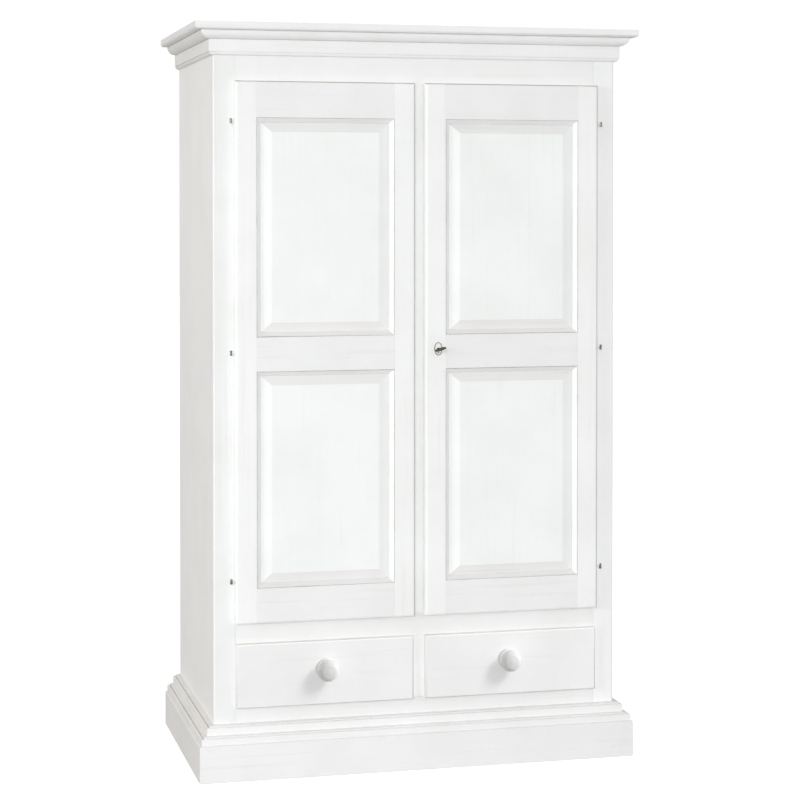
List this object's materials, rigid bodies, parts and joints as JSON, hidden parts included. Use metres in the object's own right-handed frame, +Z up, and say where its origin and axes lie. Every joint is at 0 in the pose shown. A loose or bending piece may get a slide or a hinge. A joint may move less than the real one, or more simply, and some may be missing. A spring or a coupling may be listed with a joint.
{
  "type": "armoire",
  "caption": "Painted country-style wooden armoire with two raised-panel doors over two drawers, a stepped crown and a moulded plinth.",
  "frame": {"origin": "centre of the footprint of the outer box, on the floor", "axes": "+X to the right seen from the front, +Y towards the back, +Z up; the doors face -Y"},
  "size_m": [1.224, 0.698, 2],
  "materials": {
    "painted_wood": "satin",
    "bare_wood": "matte",
    "old_brass": "satin",
    "old_iron": "satin",
    "dark_steel": "satin",
    "chrome_rail": "polished",
    "catch_plastic": "matte"
  },
  "bodies": {
    "carcass": {"back_muntin": "bare_wood", "back_panels": "bare_wood", "base_board": "bare_wood", "base_moulding_front": "painted_wood", "base_moulding_returns": "painted_wood", "cabinet_floor": "bare_wood", "clothes_rail": "chrome_rail", "crown_front": "painted_wood", "crown_returns": "painted_wood", "door_catch": "catch_plastic", "door_post": "painted_wood", "drawer_partition": "bare_wood", "drawer_post": "painted_wood", "drawer_runners": "bare_wood", "frame_bottom_rail": "painted_wood", "frame_middle_rail": "painted_wood", "frame_stile_left": "painted_wood", "frame_stile_right": "painted_wood", "frame_top_rail": "painted_wood", "frieze_front": "painted_wood", "frieze_returns": "painted_wood", "hat_shelf": "bare_wood", "hinge_frame_halves": "dark_steel", "plinth_blocks": "bare_wood", "plinth_front": "painted_wood", "plinth_returns": "painted_wood", "rail_sockets": "chrome_rail", "shelf_cleats": "bare_wood", "side_left": "painted_wood", "side_right": "painted_wood", "strike_plate": "dark_steel", "top_board": "bare_wood"},
    "door_left": {"catch_keeper": "dark_steel", "door_left_end_rails": "painted_wood", "door_left_hanging_stile": "painted_wood", "door_left_hinge_halves": "dark_steel", "door_left_lower_panel": "painted_wood", "door_left_meeting_stile": "painted_wood", "door_left_middle_rail": "painted_wood", "door_left_upper_panel": "painted_wood"},
    "door_right": {"door_right_end_rails": "painted_wood", "door_right_hanging_stile": "painted_wood", "door_right_hinge_halves": "dark_steel", "door_right_lower_panel": "painted_wood", "door_right_meeting_stile": "painted_wood", "door_right_middle_rail": "painted_wood", "door_right_upper_panel": "painted_wood", "escutcheon": "old_brass", "lock_case": "dark_steel"},
    "key": {"key": "old_iron"},
    "lock_bolt": {"lock_bolt": "dark_steel"},
    "drawer_left": {"drawer_left_bottom": "bare_wood", "drawer_left_box": "bare_wood", "drawer_left_front": "painted_wood", "drawer_left_knob": "painted_wood"},
    "drawer_right": {"drawer_right_bottom": "bare_wood", "drawer_right_box": "bare_wood", "drawer_right_front": "painted_wood", "drawer_right_knob": "painted_wood"}
  },
  "joints": [
    {"name": "door_left_hinge", "type": "hinge", "parent": "carcass", "child": "door_left", "pos_m": [-0.5135, -0.302, 1.12925], "axis": [0, 0, -1], "range_deg": [0, 170]},
    {"name": "door_right_hinge", "type": "hinge", "parent": "carcass", "child": "door_right", "pos_m": [0.5135, -0.302, 1.12925], "axis": [0, 0, 1], "range_deg": [0, 170]},
    {"name": "drawer_left_slide", "type": "slide", "parent": "carcass", "child": "drawer_left", "axis": [0, -1, 0], "range_m": [0, 0.4]},
    {"name": "drawer_right_slide", "type": "slide", "parent": "carcass", "child": "drawer_right", "axis": [0, -1, 0], "range_m": [0, 0.4]},
    {"name": "key_turn", "type": "hinge", "parent": "door_right", "child": "key", "pos_m": [0.0495, -0.281, 1.13275], "axis": [0, 1, 0], "range_deg": [0, 180]},
    {"name": "bolt_throw", "type": "slide", "parent": "door_right", "child": "lock_bolt", "axis": [-1, 0, 0], "range_m": [0, 0.0095]}
  ],
  "couplings": [
    {"joint": "bolt_throw", "follows": "key_turn", "m_per_rad": 0.002864}
  ]
}
